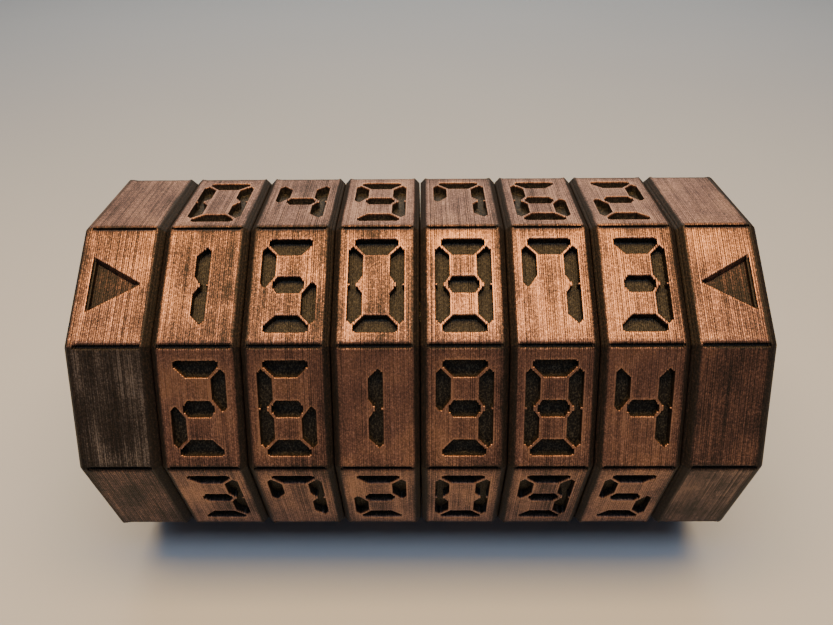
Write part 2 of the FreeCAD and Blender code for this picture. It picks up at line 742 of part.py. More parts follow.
def screws_on_flange(circle, front, faces_right):
    """Placements of the screws in a flange whose heads lie in the face called front."""
    count = int(size["flange_screw_count"].number)
    heading = Rotation(Vector(0, 1, 0), 90 if faces_right else -90)
    start = Placement(Vector(front.number, 0, circle.number), heading)
    return [about_x(180.0 / count + 360.0 / count * i) * start for i in range(count)]


def make_all_screws():
    """The four groups of screws: both caps, the rail and the collar."""
    up = Rotation()
    rail_count = int(size["rail_screw_count"].number)
    top = size["rail_top"].number
    on_rail = [Placement(Vector(rail_screw_station(i).number, 0, top), up) for i in range(rail_count)]
    rim = Placement(Vector(collar_middle.number, 0, (size["collar_outer"] - size["screw_sink"]).number), up)
    on_collar = [about_x(turn) * rim for turn in (90.0, 180.0, 270.0)]
    on_carrier = screws_on_flange(size["carrier_screw_circle"], carrier_flange_end, True)
    on_vault = screws_on_flange(size["vault_screw_circle"], vault_flange_start, False)
    return [
        make_screws("left_cap_screws", size["carrier_screw_length"], on_carrier),
        make_screws("right_cap_screws", size["vault_screw_length"], on_vault),
        make_screws("rail_screws", size["rail_screw_length"], on_rail),
        make_screws("collar_screws", size["collar_screw_length"], on_collar, headed=False),
    ]


def check_document():
    """Stop before anything is written if an object failed to compute."""
    for item in doc.Objects:
        if "Invalid" in item.State or "Error" in item.State:
            raise RuntimeError("%s did not compute: %s" % (item.Label, item.State))


def write_parts(parts):
    """Check each piece and write it under its label."""
    os.makedirs("parts", exist_ok=True)
    for part in parts:
        shape = part.Shape
        if shape.isNull() or not shape.isValid() or not shape.Solids:
            raise RuntimeError("%s has no valid solid" % part.Label)
        shape.exportStep("parts/%s.step" % part.Label)
        print("%-20s %2d solid(s) %10.1f mm3" % (part.Label, len(shape.Solids), shape.Volume))


def main():
    parts = [make_end_cap("left_end_cap", -1), make_end_cap("right_end_cap", 1)]
    parts += [make_carrier_tube(), make_retaining_collar(), make_vault_tube(), make_tooth_rail()]
    for index in range(ring_count):
        parts += [make_code_ring(index), make_lock_ring(index), make_detent_spring(index)]
    parts += make_all_screws()
    doc.recompute()
    check_document()
    write_parts(parts)


main()
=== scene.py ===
"""Looks of a decagonal number cryptex: printed rings and caps, rubbed with copper wax.

The rings and caps are built the way they were printed, as thin layers stacked along X, and then
joined into one closed mesh each. Lengths are in millimetres until a mesh is finished; materials,
lights and the camera are in metres.
"""
import json
import math
import random

import bpy
import numpy as np
from mathutils import Matrix, Vector
from mathutils.geometry import delaunay_2d_cdt


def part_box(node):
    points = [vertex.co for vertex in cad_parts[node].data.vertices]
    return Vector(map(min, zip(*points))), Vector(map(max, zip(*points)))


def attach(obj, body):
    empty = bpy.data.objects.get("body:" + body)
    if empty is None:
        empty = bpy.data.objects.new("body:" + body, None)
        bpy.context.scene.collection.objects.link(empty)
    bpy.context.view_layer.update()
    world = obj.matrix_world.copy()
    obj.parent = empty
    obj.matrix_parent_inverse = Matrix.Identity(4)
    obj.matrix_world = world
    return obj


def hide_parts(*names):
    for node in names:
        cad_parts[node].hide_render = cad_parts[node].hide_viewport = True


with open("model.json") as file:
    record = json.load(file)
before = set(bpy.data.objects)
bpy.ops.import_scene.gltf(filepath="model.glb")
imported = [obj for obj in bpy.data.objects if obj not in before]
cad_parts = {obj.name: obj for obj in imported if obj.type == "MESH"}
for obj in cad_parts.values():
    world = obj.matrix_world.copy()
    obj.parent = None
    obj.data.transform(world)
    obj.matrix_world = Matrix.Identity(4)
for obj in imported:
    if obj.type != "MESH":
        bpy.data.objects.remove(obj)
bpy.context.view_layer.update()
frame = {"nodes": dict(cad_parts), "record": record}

MM = 0.001
STEP = math.radians(36)  # from one flat to the next
HALF_STEP = STEP / 2
ARROW_TURN = STEP  # from straight up to the flat with the arrows, towards the front
FACE_COUNT = 10
RING_COUNT = 6
COMBINATION = (1, 5, 0, 8, 7, 3)  # what the arrow flat shows at rest, from left to right

# Sizes that the frame doesn't state, in millimetres.
LAYER = 0.3  # printed layer
BEAD_SHALLOW = 0.012  # valley between two layers, below their crests
BEAD_DEEP = 0.036
BEAD_FLANK = 0.2  # share of a layer that each flank of its bead takes
SIDE_CHAMFER = 0.78  # of a ring
CAP_FACE_CHAMFER = 0.92  # of a cap, where it meets the rings
CAP_END_CHAMFER = 0.5  # left cap, outer end
CAP_END_ROUND = 1.4  # right cap, outer end
GROOVE_WIDTH = 0.56  # between its walls, below the rounded lips
GROOVE_DEPTH = 0.7  # below the sharp corner
GROOVE_STOP = 0.2  # from a chamfer to a groove's end
GROOVE_CAP_END = 1.2  # from a groove's end to the outer end of its cap
GROOVE_RUN_OUT = 0.7  # rounded end of a groove
GROOVE_END_SHARE = 0.55  # of its width, where a groove ends
GROOVE_GAIN = 0.45  # what its full depth adds to that share
GROOVE_LIP = 0.34  # rounding of a groove's edge
RIM = 0.14  # rounding of a recess's edge
FLOOR_FILLET = 0.1  # foot of a recess's wall
EDGE_BAND = 0.45  # strip beside an edge that gets its own points
POINT_ROOM = 0.8 * EDGE_BAND  # that an extra point on a flat needs on both sides
CORNER_ROUND = 0.5  # of the decagon, where there is no groove
SMOOTH_ANGLE = math.radians(36)
MOST_CLOSING = 0.6  # share of its length that leaning ends may take from a span within a layer
THIN_WALL = 0.3  # least wall between two recesses, and least width of a recess
RAGGED = 0.025  # how far the ends of one layer stray
SET_BACK = 0.015  # how far whole layers may sit back
VALLEY_RANGE = 0.5  # depth of a common valley, as a share of the deepest
ODD_VALLEY = 0.25  # what every second valley has more
MARKED_VALLEYS = 0.12  # share of the valleys that have the full depth
FAR = 10.0  # distance that stands for no recess on a flat
ON_BOUNDARY = 0.1  # share of a layer within which a point counts as lying between two layers
RIM_REACH = 2.5  # how deep into a recess its rim's wax goes, in roundings of that rim
PAST_EDGE = 0.02  # how far past a flat's edge a point counts as lying on the chamfer
GROOVE_WAX = 0.75  # share of its darkness that a groove loses to the wax
BAND_ROOM = 3.2  # strips of flat that a recess needs beside it, to get a line of points there

DIGIT_WIDTH = 8.3
DIGIT_HEIGHT = 14.4
UPRIGHT_WIDTH = 2.3
BAR_HEIGHT = 2.5
SEGMENT_WALL = 0.4
DIGIT_DEPTH = 1.2
DIGIT_SLOPE = 0.1  # how far a digit's wall leans in, down to its floor
ARROW_SIDE = 8.6
ARROW_MARGIN = 2.1  # from the arrow's base to the cap's outer end
ARROW_RISE = 0.25  # middle of the arrow, above the middle of its flat
ARROW_DEPTH = 1.0
ARROW_SLOPE = 0.5
ARROW_FLOOR_SINK = 0.15  # how deep the arrow's floor counts for the wax, which reaches it

RING_SEED = 100  # of the first ring's layers
CAP_SEED = 10
WEAR_SEED = 40

CODE_BORE = 23.9  # radius
CODE_LIP_BORE = 22.6  # radius
CODE_LIP_WIDTH = 0.9
KEY_DEPTH = 1.2
KEY_WIDTH = 3.4
# For each cap, its end wall, and its cavities as (depth from the end, radius), outermost last.
CAP_CAVITIES = {-1: (4.9, [(4.9, 23.5)]), 1: (3.9, [(6.4, 25.4), (3.9, 20.6)])}
CAP_SCREW_CIRCLES = {-1: 20.8, 1: 17.6}
PILOT_RADIUS = 1.25
PILOT_DEPTH = 3.0
BORE_POINTS = 72
CAVITY_POINTS = 96
PILOT_POINTS = 16
RING_WEAR = 0.3  # most wax that a flat of a ring has lost, as a share
# Wax lost from each flat of a cap, starting with the arrow's and going round over the front.
CAP_WEAR = {
    -1: (0.1, 1.0, 0.6, 0.3, 0.2, 0.4, 0.2, 0.1, 0.3, 0.15),
    1: (0.05, 0.55, 0.7, 0.3, 0.2, 0.3, 0.1, 0.3, 0.2, 0.0),
}

# Segments of each digit: A top, B and C right, D bottom, E and F left, G middle.
DIGIT_SEGMENTS = (
    "ABCDEF", "BC", "ABGED", "ABGCD", "FGBC",
    "AFGCD", "AFGECD", "FABC", "ABCDEFG", "ABCDFG",
)

CAP_BOX = [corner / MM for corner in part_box("left_end_cap")]
APOTHEM = CAP_BOX[1].z
FLOOR_LEVEL = CAP_BOX[0].z


# ---------------------------------------------------------------- outlines of digits and arrows

def flipped(points, across, up):
    return [(across * x, up * y) for x, y in points]


def segment_outlines():
    """Corner points of the seven segments, about the middle of the digit, and of whole sides."""
    half_width = DIGIT_WIDTH / 2
    half_height = DIGIT_HEIGHT / 2
    inner = half_width - UPRIGHT_WIDTH
    shelf = half_height - BAR_HEIGHT
    middle = BAR_HEIGHT / 2
    mitre = SEGMENT_WALL * math.sqrt(0.5)  # along an edge, from the mitre line to a corner
    corner = 0.75  # outer corner of an upright, cut at 45 degrees
    bar_tip = 0.65  # outer corner of a level bar
    bar_inset = 0.25  # middle bar's level edge, short of the uprights
    bar_point = 0.9  # point of the middle bar, past its level edge
    neck = 0.3  # how far a lone upright passes the middle of the digit
    nub_top = 0.4  # where an upright's outer edge turns in towards the middle
    nub_run = 0.6  # how far it turns in, down to the end of the neck

    top_tip = half_width - corner
    top = [
        (half_width - 2 * bar_tip, half_height),
        (half_width - corner, half_height - bar_tip),
        (inner - mitre, shelf),
    ]
    level = inner - bar_inset
    lean = bar_point / middle  # sideways run of a middle bar's end, per unit of height
    root = level + bar_point + SEGMENT_WALL * math.hypot(1.0, lean)  # an upright's waist
    upright_top = [
        (inner, (root - inner) / lean),
        (inner, shelf - mitre),
        (top_tip, shelf - mitre + top_tip - inner),
        (half_width, shelf - mitre + top_tip - inner - corner),
        (half_width, nub_top),
    ]
    neck_end = [(half_width - nub_run, -neck), (root + neck * lean, -neck)]
    nub = half_width - nub_run * nub_top / (nub_top + neck)
    upright = upright_top + neck_end
    side = upright_top + [(nub, 0.0)] + flipped(upright_top[::-1], 1, -1) + [(root, 0.0)]
    bar = [(level, middle), (level + bar_point, 0.0), (level, -middle)]
    return {
        "A": top + flipped(top[::-1], -1, 1),
        "B": upright,
        "C": flipped(upright, 1, -1),
        "D": flipped(top + flipped(top[::-1], -1, 1), 1, -1),
        "E": flipped(upright, -1, -1),
        "F": flipped(upright, -1, 1),
        "G": bar + flipped(bar[::-1], -1, 1),
        "BC": side,
        "EF": flipped(side, -1, 1),
    }


SEGMENTS = segment_outlines()


def digit_outlines(digit):
    """Outlines of a digit; the two uprights of one side run together through a narrow neck."""
    lit = set(DIGIT_SEGMENTS[digit])
    for upper_and_lower in ("BC", "EF"):
        if lit.issuperset(upper_and_lower):
            lit = lit.difference(upper_and_lower) | {upper_and_lower}
    shift = -(DIGIT_WIDTH - UPRIGHT_WIDTH) / 2 if digit == 1 else 0.0
    return [[(x + shift, y) for x, y in SEGMENTS[name]] for name in sorted(lit)]


def arrow_outline(side, middle_to_end):
    """Triangle that points at the rings; side is -1 for the left cap and 1 for the right one."""
    base = middle_to_end - ARROW_MARGIN
    tip = base - ARROW_SIDE * math.sqrt(0.75)
    high, low = ARROW_RISE + ARROW_SIDE / 2, ARROW_RISE - ARROW_SIDE / 2
    return [(side * base, high), (side * base, low), (side * tip, ARROW_RISE)]


class Span:
    """Stretch of one flat that a layer leaves open, with the lean of its two ends along X."""

    def __init__(self, high, low, high_lean, low_lean, depth_share):
        self.high, self.low = high, low
        self.high_lean, self.low_lean = high_lean, low_lean
        self.depth_share = depth_share

    def ragged(self, chance):
        """The same span, with ends that don't line up exactly with those of other layers."""
        high = self.high + chance.uniform(-RAGGED, RAGGED)
        low = self.low + chance.uniform(-RAGGED, RAGGED)
        return Span(high, low, self.high_lean, self.low_lean, self.depth_share)


def cuts_at(outline, station):
    """Heights where a line at one station crosses an outline, highest first."""
    cuts = []
    for (x0, y0), (x1, y1) in zip(outline, outline[1:] + outline[:1]):
        if (x0 <= station) != (x1 <= station):
            cuts.append(y0 + (y1 - y0) * (station - x0) / (x1 - x0))
    return sorted(cuts, reverse=True)


def leans_at(outline, station, count):
    """Slope of each crossing along X; 0 where the outline starts or ends."""
    reach = 0.4 * LAYER
    before, after = cuts_at(outline, station - reach), cuts_at(outline, station + reach)
    if len(before) != count or len(after) != count:
        return [0.0] * count
    return [(b - a) / (2 * reach) for a, b in zip(before, after)]


def spans_at(outlines, station, slope):
    """Stretches of each outline that a line at one station crosses, highest first."""
    spans = []
    for outline in outlines:
        cuts = cuts_at(outline, station)
        leans = leans_at(outline, station, len(cuts))
        uprights = [x0 for (x0, _), (x1, _) in zip(outline, outline[1:] + outline[:1]) if x0 == x1]
        share = min([1.0] + [abs(station - x) / slope for x in uprights])
        for i in range(0, len(cuts), 2):
            if cuts[i] - cuts[i + 1] > THIN_WALL:
                spans.append(Span(cuts[i], cuts[i + 1], leans[i], leans[i + 1], share))
    spans.sort(key=lambda span: -span.high)
    for upper, lower in zip(spans, spans[1:]):
        short = THIN_WALL - (upper.low - lower.high)
        if short > 0:
            upper.low += short / 2
            lower.high -= short / 2
        spare = upper.low - lower.high - 2 * (RIM + BEAD_DEEP + RAGGED)
        if abs(upper.low_lean - lower.high_lean) * LAYER / 2 > max(0.0, spare):
            upper.low_lean = lower.high_lean = (upper.low_lean + lower.high_lean) / 2
    for span in spans:
        if abs(span.high_lean - span.low_lean) * LAYER > MOST_CLOSING * (span.high - span.low):
            span.high_lean = span.low_lean = 0.0
    return spans


# ---------------------------------------------------------------- printed layers

# A profile point is (height, depth, corner, spread, lean). Its height along the flat is measured
# from the middle of the flat (corner 0), or from its upper or lower corner (1 or -1). Where a bead
# narrows by some amount the point moves by spread times that, and along X it moves by its lean.

def height_of(point, half_side, bead, across):
    height, sunk, corner, spread, lean = point
    return height + corner * half_side + spread * bead + lean * across


def corner_profile(grooved):
    """Half of a corner, as (distance from the sharp corner along the flat, depth, spread).

    A groove has its full size where grooved is 1. Where it runs out it is shallower and narrower,
    with a smaller fillet and lip.
    """
    sine, cosine = math.sin(HALF_STEP), math.cos(HALF_STEP)

    def on_flat(tangent, radial, spread):
        return tangent * cosine - radial * sine, -tangent * sine - radial * cosine, spread

    if not grooved:
        points = []
        for share in (0.0, 0.5):
            angle = HALF_STEP * share
            sunk = CORNER_ROUND * (math.cos(angle) - 1 / cosine)
            points.append(on_flat(CORNER_ROUND * math.sin(angle), sunk, 0))
        run = CORNER_ROUND * math.tan(HALF_STEP)
        return points + [(run, 0.0, 0), (run + EDGE_BAND, 0.0, 0)]
    wall = GROOVE_WIDTH / 2 * (GROOVE_END_SHARE + GROOVE_GAIN * grooved)
    bottom = -GROOVE_DEPTH * grooved
    edge = -wall * math.tan(HALF_STEP)
    lip = wall / cosine
    fillet = min(FLOOR_FILLET, 0.2 * (edge - bottom))
    rounding = min(GROOVE_LIP, 0.6 * (edge - bottom))
    points = [on_flat(0.0, bottom, 0), on_flat(wall - fillet, bottom, 1)]
    points.append(on_flat(wall, bottom + fillet, 1))
    points.append(on_flat(wall, edge - rounding, 1))
    near, far = 0.13 * rounding, 0.5 * rounding  # two points on the rounded lip
    points += [(lip + near, far, 1), (lip + far, near, 1)]
    points.append((lip + rounding, 0.0, 1))
    return points + [(lip + EDGE_BAND + rounding, 0.0, 1)]


def recess_profile(span, depth, slope, room_above, room_below):
    """Profile points across one recess, from its upper edge to its lower one.

    A short span gets steeper walls and a higher floor, and a thin wall beside it a smaller rim.
    """
    half = (span.high - span.low) / 2
    run = min(slope, 0.6 * half - 0.3 * FLOOR_FILLET)
    bottom = depth * min(span.depth_share, half / (slope + FLOOR_FILLET), 1.0)
    bottom = max(bottom, RIM + 1.5 * FLOOR_FILLET)

    def edge(room):
        radius = min(RIM, 0.45 * room - BEAD_DEEP)
        arc = [math.radians(angle) for angle in (0, 30, 60, 90)]
        rim = [(radius * (1 - math.sin(a)), radius * (1 - math.cos(a))) for a in arc]
        return rim + [(-run, bottom - FLOOR_FILLET), (-run - 0.7 * FLOOR_FILLET, bottom)]

    upper = [(span.high + out, sunk, 0, 1, span.high_lean) for out, sunk in edge(room_above)]
    lower = [(span.low - out, sunk, 0, -1, span.low_lean) for out, sunk in edge(room_below)[::-1]]
    if room_above > BAND_ROOM * EDGE_BAND:
        upper.insert(0, (span.high + EDGE_BAND, 0.0, 0, 1, span.high_lean))
    if room_below > BAND_ROOM * EDGE_BAND:
        lower.append((span.low - EDGE_BAND, 0.0, 0, -1, span.low_lean))
    return upper + lower


def flat_profile(spans, extra, depth, slope, half_side, grooved):
    """Profile points of one flat, from its upper corner to its lower one."""
    corner = corner_profile(grooved)
    points = [(-along, sunk, 1, -spread, 0.0) for along, sunk, spread in corner]
    ends = [half_side] + [end for span in spans for end in (span.high, span.low)] + [-half_side]
    for index, span in enumerate(spans):
        above = ends[2 * index] - span.high
        below = span.low - ends[2 * index + 3]
        points += recess_profile(span, depth, slope, above, below)
    points += [(along, sunk, -1, spread, 0.0) for along, sunk, spread in reversed(corner)]
    for height in extra:
        heights = [height_of(point, half_side, 0.0, 0.0) for point in points]
        place = next(i for i, other in enumerate(heights) if other < height)
        clear = min(heights[place - 1] - height, height - heights[place]) > POINT_ROOM
        if clear and points[place - 1][1] == 0.0 and points[place][1] == 0.0:
            points.insert(place, (height, 0.0, 0, 0, 0.0))
    return points


def around_axis(profiles, inset, bead, turn, across):
    """Join the profiles of all flats into one outline in the YZ plane, towards the front."""
    apothem = APOTHEM - inset - bead
    half_side = apothem * math.tan(HALF_STEP)
    outline = []
    for index, points in enumerate(profiles):
        angle = turn + index * STEP
        out = Vector((-math.sin(angle), math.cos(angle)))
        up = Vector((math.cos(angle), math.sin(angle)))
        for point in points[:-1]:
            height = height_of(point, half_side, bead, across)
            outline.append(out * (apothem - point[1]) + up * height)
    return [(p.x, p.y) for p in outline]


def circle(radius, count, middle=(0.0, 0.0)):
    angles = [2 * math.pi * i / count for i in range(count)]
    return [(middle[0] + radius * math.cos(a), middle[1] + radius * math.sin(a)) for a in angles]


class Slab:
    """One closed printed layer: rings of an outline joined by strips, and two end faces."""

    def __init__(self, stations, outlines, holes):
        self.points = []
        self.faces = []
        rings = [self.add_ring(x, outline) for x, outline in zip(stations, outlines)]
        for near, far in zip(rings, rings[1:]):
            self.strip(near, far)
        hole_rings = []
        for hole in holes:
            pair = [self.add_ring(x, hole) for x in (stations[0], stations[-1])]
            self.strip(pair[1], pair[0])
            hole_rings.append(pair)
        self.end_face([rings[0]] + [pair[0] for pair in hole_rings], False)
        self.end_face([rings[-1]] + [pair[1] for pair in hole_rings], True)

    def add_ring(self, x, outline):
        first = len(self.points)
        self.points += [(x, y, z) for y, z in outline]
        return list(range(first, len(self.points)))

    def strip(self, near, far):
        for i, j in zip(range(len(near)), list(range(1, len(near))) + [0]):
            self.faces.append((near[i], near[j], far[j], far[i]))

    def end_face(self, loops, faces_right):
        members = [index for loop in loops for index in loop]
        flat = [Vector(self.points[index][1:]) for index in members]
        edges, first = [], 0
        for loop in loops:
            count = len(loop)
            edges += [(first + i, first + (i + 1) % count) for i in range(count)]
            first += count
        corners, _, triangles, origins, _, _ = delaunay_2d_cdt(flat, edges, [], 1, 1e-7)
        if len(corners) != len(flat):
            raise RuntimeError("a layer's outline crosses itself at %.2f mm" % self.points[0][0])
        place = np.array([p[:] for p in corners])
        triangles = np.array(triangles)
        middles = place[triangles].mean(axis=1)
        starts = np.array([flat[a] for a, b in edges])
        ends = np.array([flat[b] for a, b in edges])
        inside = is_inside(middles, starts, ends)
        for triangle in triangles[inside]:
            corner = [members[origins[i][0]] for i in triangle]
            self.faces.append(tuple(corner) if faces_right else tuple(corner[::-1]))


def is_inside(points, starts, ends):
    """Even-odd test of points against closed loops of edges."""
    across, up = points[:, 0][:, None], points[:, 1][:, None]
    crosses = (starts[:, 1] > up) != (ends[:, 1] > up)
    rise = np.where(ends[:, 1] == starts[:, 1], 1.0, ends[:, 1] - starts[:, 1])
    meet = starts[:, 0] + (up - starts[:, 1]) * (ends[:, 0] - starts[:, 0]) / rise
    return (crosses & (across < meet)).sum(axis=1) % 2 == 1


def mesh_of(name, slabs):
    points, faces = [], []
    for slab in slabs:
        first = len(points)
        points += slab.points
        faces += [tuple(first + index for index in face) for face in slab.faces]
    mesh = bpy.data.meshes.new(name)
    mesh.from_pydata(points, [], faces)
    return mesh


def joined_layers(name, slabs):
    """Union of the even and the odd layers, as one closed mesh."""
    halves = []
    for start in (0, 1):
        half = bpy.data.objects.new("%s_half_%d" % (name, start), mesh_of(name, slabs[start::2]))
        bpy.context.scene.collection.objects.link(half)
        halves.append(half)
    union = halves[0].modifiers.new("union", "BOOLEAN")
    union.operation = "UNION"
    union.solver = "MANIFOLD"
    union.object = halves[1]
    depsgraph = bpy.context.evaluated_depsgraph_get()
    mesh = bpy.data.meshes.new_from_object(halves[0].evaluated_get(depsgraph))
    mesh.name = name
    for half in halves:
        old = half.data
        bpy.data.objects.remove(half)
        bpy.data.meshes.remove(old)
    return mesh


class EndEdge:
    """Chamfer or rounding where the flats meet an end face."""

    def __init__(self, reach, is_round=False):
        self.reach = reach
        self.is_round = is_round

    def inset(self, distance):
        """How far it brings the flats in, at distances from the end."""
        gap = np.maximum(0.0, self.reach - distance)
        return self.reach - np.sqrt(self.reach ** 2 - gap ** 2) if self.is_round else gap


class PrintedPrism:
    """A decagonal ring or cap, described once and then built layer by layer."""

    def __init__(self, name, low, high, edges, grooves, recesses, depth, slope, holes, turn,
                 seed, wear, floor_sink=None):
        self.name = name
        self.low, self.high = low, high
        self.edges = edges  # at the low and at the high end
        self.grooves = grooves  # first and last station of the grooves
        self.recesses = recesses  # for each flat, outlines about the middle of the piece
        self.depth = depth
        self.slope = slope
        self.holes = holes  # function of a station, gives the loops of the bore there
        self.turn = turn
        self.wear = wear  # how much wax each flat has lost
        self.floor_sink = floor_sink  # how deep its recess floors count for the wax, if set
        self.chance = random.Random(seed)
        self.count = round((high - low) / LAYER)
        self.layer = (high - low) / self.count
        self.middle = (low + high) / 2
        # Every second valley is the deeper one, and a few stand out.
        self.valleys = []
        for index in range(self.count + 1):
            share = self.chance.uniform(0.0, VALLEY_RANGE) + (ODD_VALLEY if index % 2 else 0.0)
            self.valleys.append(1.0 if self.chance.random() < MARKED_VALLEYS else share)

    def inset_at(self, x):
        """How far the end edges bring the flats in, at stations."""
        return np.maximum(self.edges[0].inset(x - self.low), self.edges[1].inset(self.high - x))

    def groove_at(self, x):
        """1 along a groove, less where it runs out, and 0 past its ends."""
        inside = min(x - self.grooves[0], self.grooves[1] - x)
        if inside <= 0:
            return 0.0
        short = max(0.0, 1 - inside / GROOVE_RUN_OUT)
        return math.sqrt(1 - short * short)

    def spans(self, index):
        """Recessed stretches of each flat in one layer."""
        if not 0 <= index < self.count:
            return [[] for _ in range(FACE_COUNT)]
        station = self.low + (index + 0.5) * self.layer - self.middle
        return [spans_at(outlines, station, self.slope) for outlines in self.recesses]

    def slab(self, index):
        start = self.low + index * self.layer
        stations = [start + self.layer * share for share in (0, BEAD_FLANK, 1 - BEAD_FLANK, 1)]
        own_inset = self.chance.uniform(0, SET_BACK)
        ragged = [[span.ragged(self.chance) for span in flat] for flat in self.spans(index)]
        neighbours = zip(self.spans(index - 1), self.spans(index + 1))
        nearby = [before + after for before, after in neighbours]
        extras = []
        for flat in nearby:
            ends = {round(end, 4) for span in flat for end in (span.high, span.low)}
            extras.append(sorted(ends, reverse=True))
        middle = start + self.layer / 2
        deepest = max(self.inset_at(start), self.inset_at(start + self.layer))
        half_side = (APOTHEM - deepest) * math.tan(HALF_STEP)
        grooved = self.groove_at(middle)
        profiles = [
            flat_profile(flat, extra, self.depth, self.slope, half_side, grooved)
            for flat, extra in zip(ragged, extras)
        ]
        first, last = [
            BEAD_SHALLOW + (BEAD_DEEP - BEAD_SHALLOW) * share
            for share in self.valleys[index:index + 2]
        ]
        outlines = [
            around_axis(profiles, own_inset + self.inset_at(x), bead, self.turn, x - middle)
            for x, bead in zip(stations, (first, 0.0, 0.0, last))
        ]
        return Slab(stations, outlines, self.holes(middle))

    def build(self):
        mesh = joined_layers(self.name, [self.slab(index) for index in range(self.count)])
        self.mark(mesh)
        return mesh

    def mark(self, mesh):
        """Write what the materials need to know at each point, while lengths are in millimetres."""
        place = np.empty(len(mesh.vertices) * 3)
        mesh.vertices.foreach_get("co", place)
        x, y, z = place.reshape(-1, 3).T
        turns = (np.arctan2(-y, z) - self.turn) / STEP
        flat = np.round(turns).astype(int) % FACE_COUNT
        angle = self.turn + flat * STEP
        from_start, from_end = x - self.low, self.high - x
        inset = self.inset_at(x)
        depth = APOTHEM - inset - (z * np.cos(angle) - y * np.sin(angle))
        height = y * np.cos(angle) + z * np.sin(angle)
        to_recess = np.full(len(x), FAR)
        for index, outlines in enumerate(self.recesses):
            members = np.flatnonzero(flat == index)
            if outlines:
                across = x[members] - self.middle
                to_recess[members] = distance_to(outlines, across, height[members])
        on_surface = depth < RIM_REACH * RIM
        to_corner = APOTHEM * math.tan(HALF_STEP) - np.abs(height)
        # closeness to a corner: it eases the grooves' darkness from sink, and the material paints a
        # band of shade along it
        corner = closeness(to_corner, GROOVE_WIDTH / 2 + EDGE_BAND + RIM)
        sink = np.clip(depth / DIGIT_DEPTH, 0.0, 1.0) * (1.0 - GROOVE_WAX * corner)
        if self.floor_sink is not None:
            sink = np.where((depth > self.depth - RIM) & (corner == 0.0), self.floor_sink, sink)
        to_side = np.minimum(from_start - self.edges[0].reach, from_end - self.edges[1].reach)
        boundary = np.round(from_start / self.layer).astype(int)
        off_boundary = np.abs(from_start / self.layer - boundary)
        layer = np.clip((from_start / self.layer).astype(int), 0, self.count - 1)
        tones = np.array([self.chance.random() for _ in range(self.count)])
        marks = {
            "rim": np.where(on_surface, closeness(to_recess, EDGE_BAND), 0.0),
            "sink": sink,
            "valley": np.where(off_boundary < ON_BOUNDARY, np.array(self.valleys)[boundary], 0.0),
            # 1 on the chamfers, where the material paints shade
            "beveled": np.where(to_side < -PAST_EDGE, 1.0, 0.0),
            "wear": np.array(self.wear)[flat],
            # near the decagon's corners, where the material paints shade
            "corner": corner,
            # near the chamfered ends of a flat, where the material paints shade
            "side": closeness(to_side, EDGE_BAND),
            "tone": tones[layer],
        }
        for name, values in marks.items():
            attribute = mesh.attributes.new(name, "FLOAT", "POINT")
            attribute.data.foreach_set("value", values.astype(np.float32))


def closeness(distance, band):
    """1 at an edge, falling to 0 at a band's width from it."""
    return np.clip(1.0 - distance / band, 0.0, 1.0)


def distance_to(outlines, across, up):
    """Distance of points to the nearest edge of any outline."""
    points = np.stack([across, up], axis=1)[:, None, :]
    starts = np.array([point for outline in outlines for point in outline])
    ends = np.array([point for outline in outlines for point in outline[1:] + outline[:1]])
    run = ends - starts
    share = ((points - starts) * run).sum(axis=2) / (run * run).sum(axis=1)
    nearest = starts + np.clip(share, 0.0, 1.0)[:, :, None] * run
    return np.sqrt(((points - nearest) ** 2).sum(axis=2)).min(axis=1)


def piece_from(mesh, body, node, material):
    """Bring a finished mesh to metres and put it in place of its CAD node."""
    mesh.transform(Matrix.Scale(MM, 4))
    mesh.polygons.foreach_set("use_smooth", [True] * len(mesh.polygons))
    mesh.set_sharp_from_angle(angle=SMOOTH_ANGLE)
    mesh.materials.clear()
    mesh.materials.append(material)
    piece = bpy.data.objects.new(mesh.name, mesh)
    bpy.context.scene.collection.objects.link(piece)
    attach(piece, body)
    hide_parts(node)
    return piece


# ---------------------------------------------------------------- rings and caps

def keyed_bore(radius, key_depth, key_width, turn):
    """Round bore with a keyway behind each flat."""
    points = []
    half = key_width / 2
    edge = math.asin(half / radius)
    for index in range(FACE_COUNT):
        angle = turn + index * STEP
        out = Vector((-math.sin(angle), math.cos(angle)))
        side = Vector((-math.cos(angle), -math.sin(angle)))
        for across, height in ((-half, radius * math.cos(edge)), (-half, radius + key_depth),
                               (half, radius + key_depth), (half, radius * math.cos(edge))):
            points.append(out * height + side * across)
        for share in (0.25, 0.5, 0.75):  # of the arc up to the next keyway
            bearing = edge + (STEP - 2 * edge) * share
            points.append(out * (radius * math.cos(bearing)) + side * (radius * math.sin(bearing)))
    return [(p.x, p.y) for p in points]


def code_ring(index):
    """Ring with ten digits, keyed inside; its lip on the right seats the lock ring."""
    low, high = [corner.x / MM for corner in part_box("code_ring_%d" % (index + 1))]
    turn = ARROW_TURN - STEP * COMBINATION[index]
    lip = circle(CODE_LIP_BORE, BORE_POINTS)
    keyed = keyed_bore(CODE_BORE, KEY_DEPTH, KEY_WIDTH, turn)

    def holes(x):
        return [lip if x > high - CODE_LIP_WIDTH else keyed]

    stop = SIDE_CHAMFER + GROOVE_STOP
    chance = random.Random(WEAR_SEED + index)
    wear = [chance.uniform(0.0, RING_WEAR) for _ in range(FACE_COUNT)]
    return PrintedPrism(
        "numbered_ring_%d" % (index + 1), low, high,
        edges=(EndEdge(SIDE_CHAMFER), EndEdge(SIDE_CHAMFER)), grooves=(low + stop, high - stop),
        recesses=[digit_outlines(digit) for digit in range(FACE_COUNT)],
        depth=DIGIT_DEPTH, slope=DIGIT_SLOPE, holes=holes, turn=turn,
        seed=RING_SEED + index, wear=wear)


